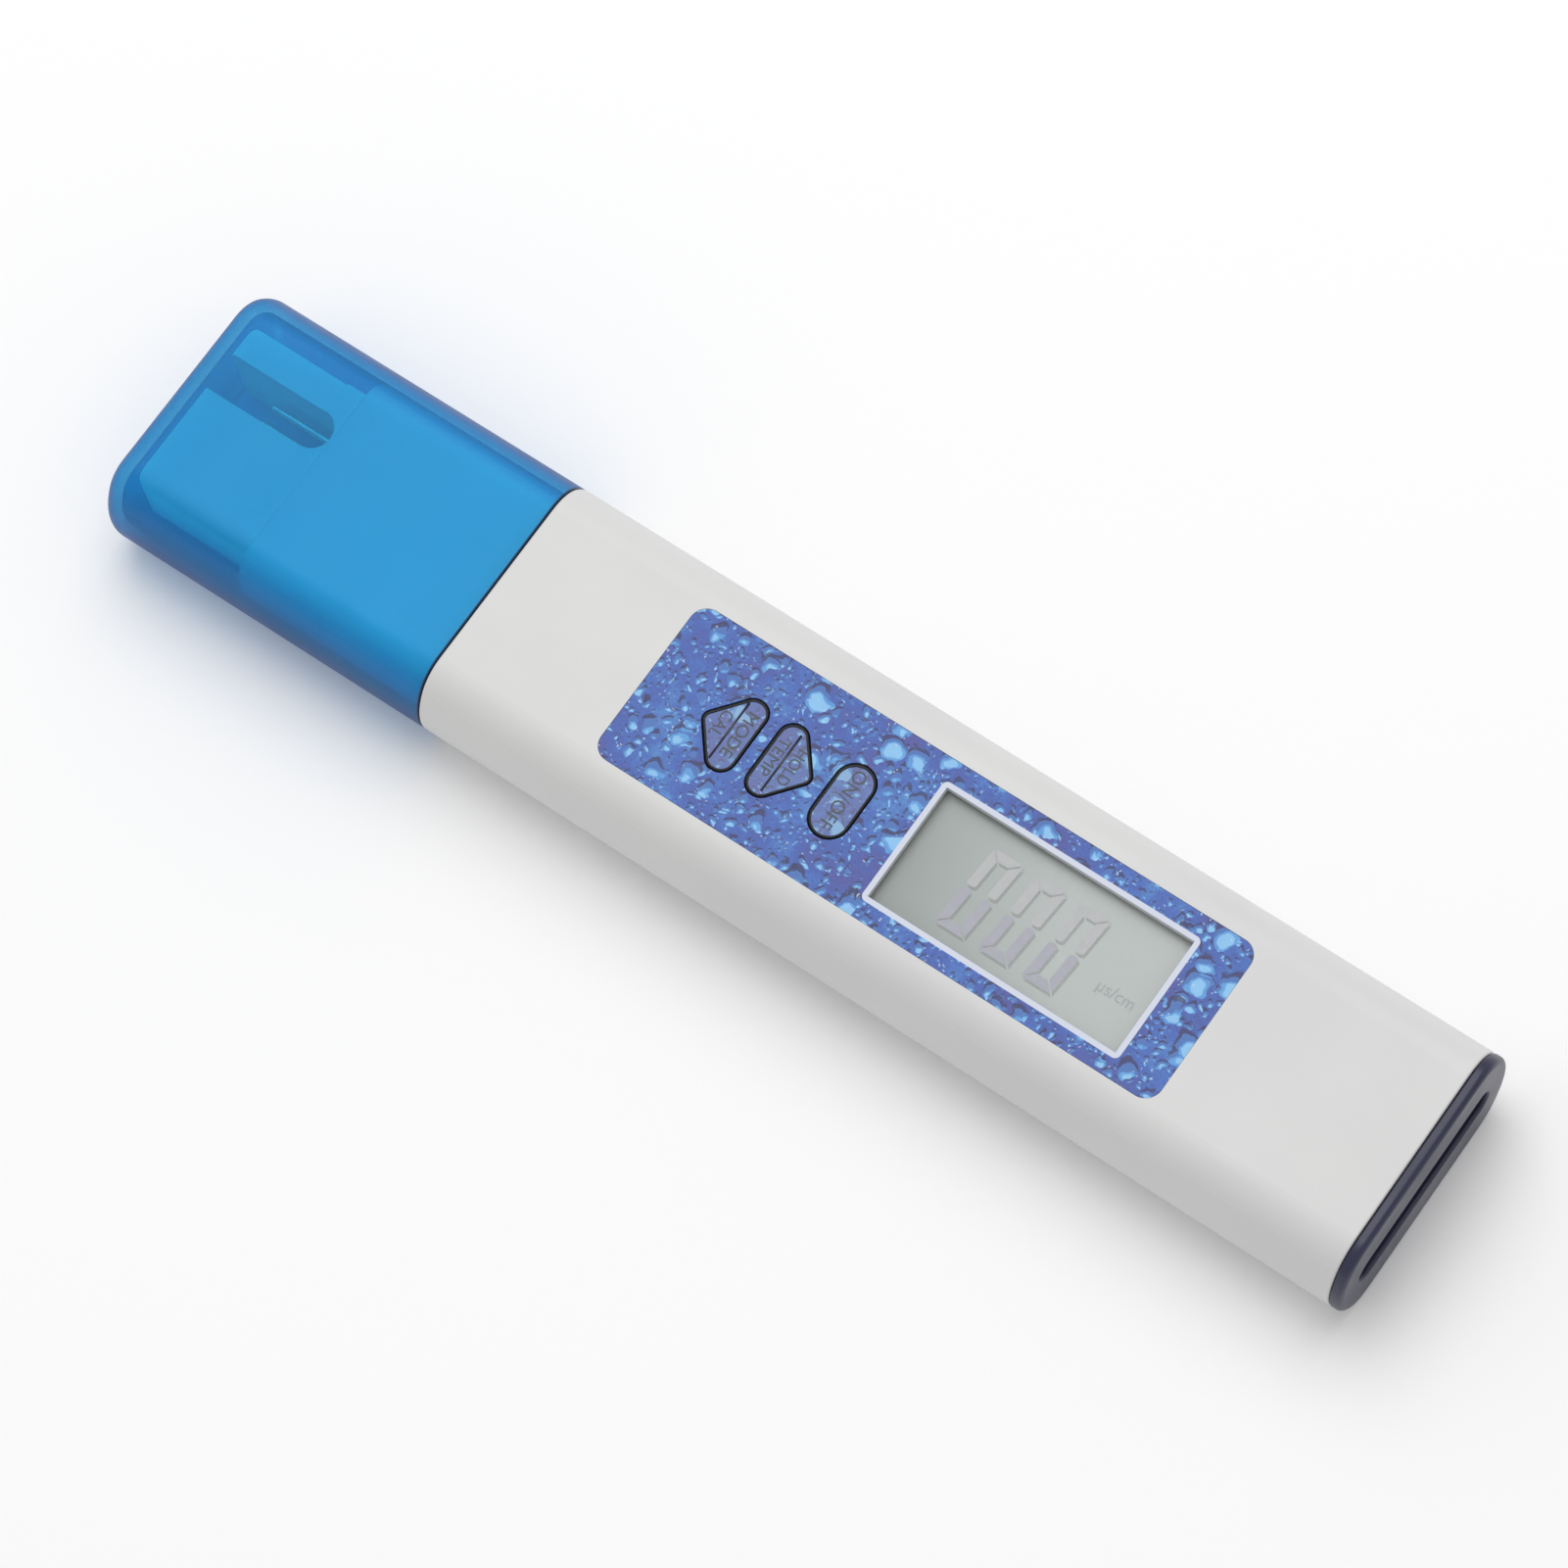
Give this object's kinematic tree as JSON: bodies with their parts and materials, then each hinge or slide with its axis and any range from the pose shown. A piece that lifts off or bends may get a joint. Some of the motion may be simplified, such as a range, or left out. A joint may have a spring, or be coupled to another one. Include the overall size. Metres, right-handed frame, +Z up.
{
  "type": "digital water tester",
  "caption": "pocket water conductivity tester pen with a small display, three flat keys, a pull-off translucent cap over its forked probe and a slide-out battery cap",
  "frame": {"origin": "middle of the underside of the whole pen's box, with the cap on and the pen lying on its back", "axes": "+X along the pen from the probe cap to the battery cap, +Y across the pen to the sample slot's side, +Z up out of the display"},
  "size_m": [0.154, 0.03, 0.014],
  "materials": {
    "sleeve_white": "satin moulded",
    "cap_blue": "translucent frosted",
    "end_navy": "satin moulded",
    "label_print": "printed film",
    "lens_clear": "clear",
    "lcd_glass": "grey-green display",
    "key_dark": "gloss",
    "key_print": "printed film",
    "inner_white": "moulded",
    "zebra_rubber": "banded",
    "board_green": "solder mask",
    "chip_black": "moulded",
    "component_tan": "ceramic chips with tinned ends",
    "bright_steel": "plated",
    "probe_white": "moulded",
    "seal_rubber": "smooth",
    "wire_sleeve": "insulated",
    "cell_can": "nickel plated",
    "contact_gold": "plated spring leaf",
    "strap_clear": "thin strip"
  },
  "bodies": {
    "handset": {"body_shell": "sleeve_white", "label_overlay": "label_print", "window_lens": "lens_clear", "display_panel": "lcd_glass", "display_holder": "inner_white", "zebra_strips": "zebra_rubber", "main_board": "board_green", "controller_chip": "chip_black", "amplifier_chip": "chip_black", "board_components": "component_tan", "crystal": "bright_steel", "board_screws": "bright_steel", "switch_bases": "chip_black", "probe_housing": "probe_white", "probe_seal_ring": "seal_rubber", "electrode_pins": "bright_steel", "temperature_sensor": "bright_steel", "probe_leads": "wire_sleeve", "battery_contacts": "contact_gold"},
    "mode_cal_button": {"mode_cal_key": "key_dark", "mode_cal_film": "key_print", "mode_cal_plunger": "chip_black"},
    "hold_temp_button": {"hold_temp_key": "key_dark", "hold_temp_film": "key_print", "hold_temp_plunger": "chip_black"},
    "on_off_button": {"on_off_key": "key_dark", "on_off_film": "key_print", "on_off_plunger": "chip_black"},
    "cap": {"probe_cap": "cap_blue"},
    "battery_drawer": {"end_cap": "end_navy", "end_cap_seal": "seal_rubber", "battery_tray": "inner_white", "cell_strap": "strap_clear", "battery_cell_left": "cell_can", "battery_cell_right": "cell_can"}
  },
  "joints": [
    {"name": "mode_cal_press", "type": "slide", "parent": "handset", "child": "mode_cal_button", "axis": [0, 0, -1], "range_m": [0, 0.0004], "stiffness_N_per_m": 1500, "springref_m": -0.0001},
    {"name": "hold_temp_press", "type": "slide", "parent": "handset", "child": "hold_temp_button", "axis": [0, 0, -1], "range_m": [0, 0.0004], "stiffness_N_per_m": 1500, "springref_m": -0.0001},
    {"name": "on_off_press", "type": "slide", "parent": "handset", "child": "on_off_button", "axis": [0, 0, -1], "range_m": [0, 0.0004], "stiffness_N_per_m": 1500, "springref_m": -0.0001},
    {"name": "cap_pull", "type": "slide", "parent": "handset", "child": "cap", "axis": [-1, 0, 0], "range_m": [0, 0.045]},
    {"name": "battery_drawer_pull", "type": "slide", "parent": "handset", "child": "battery_drawer", "axis": [1, 0, 0], "range_m": [0, 0.025]}
  ]
}
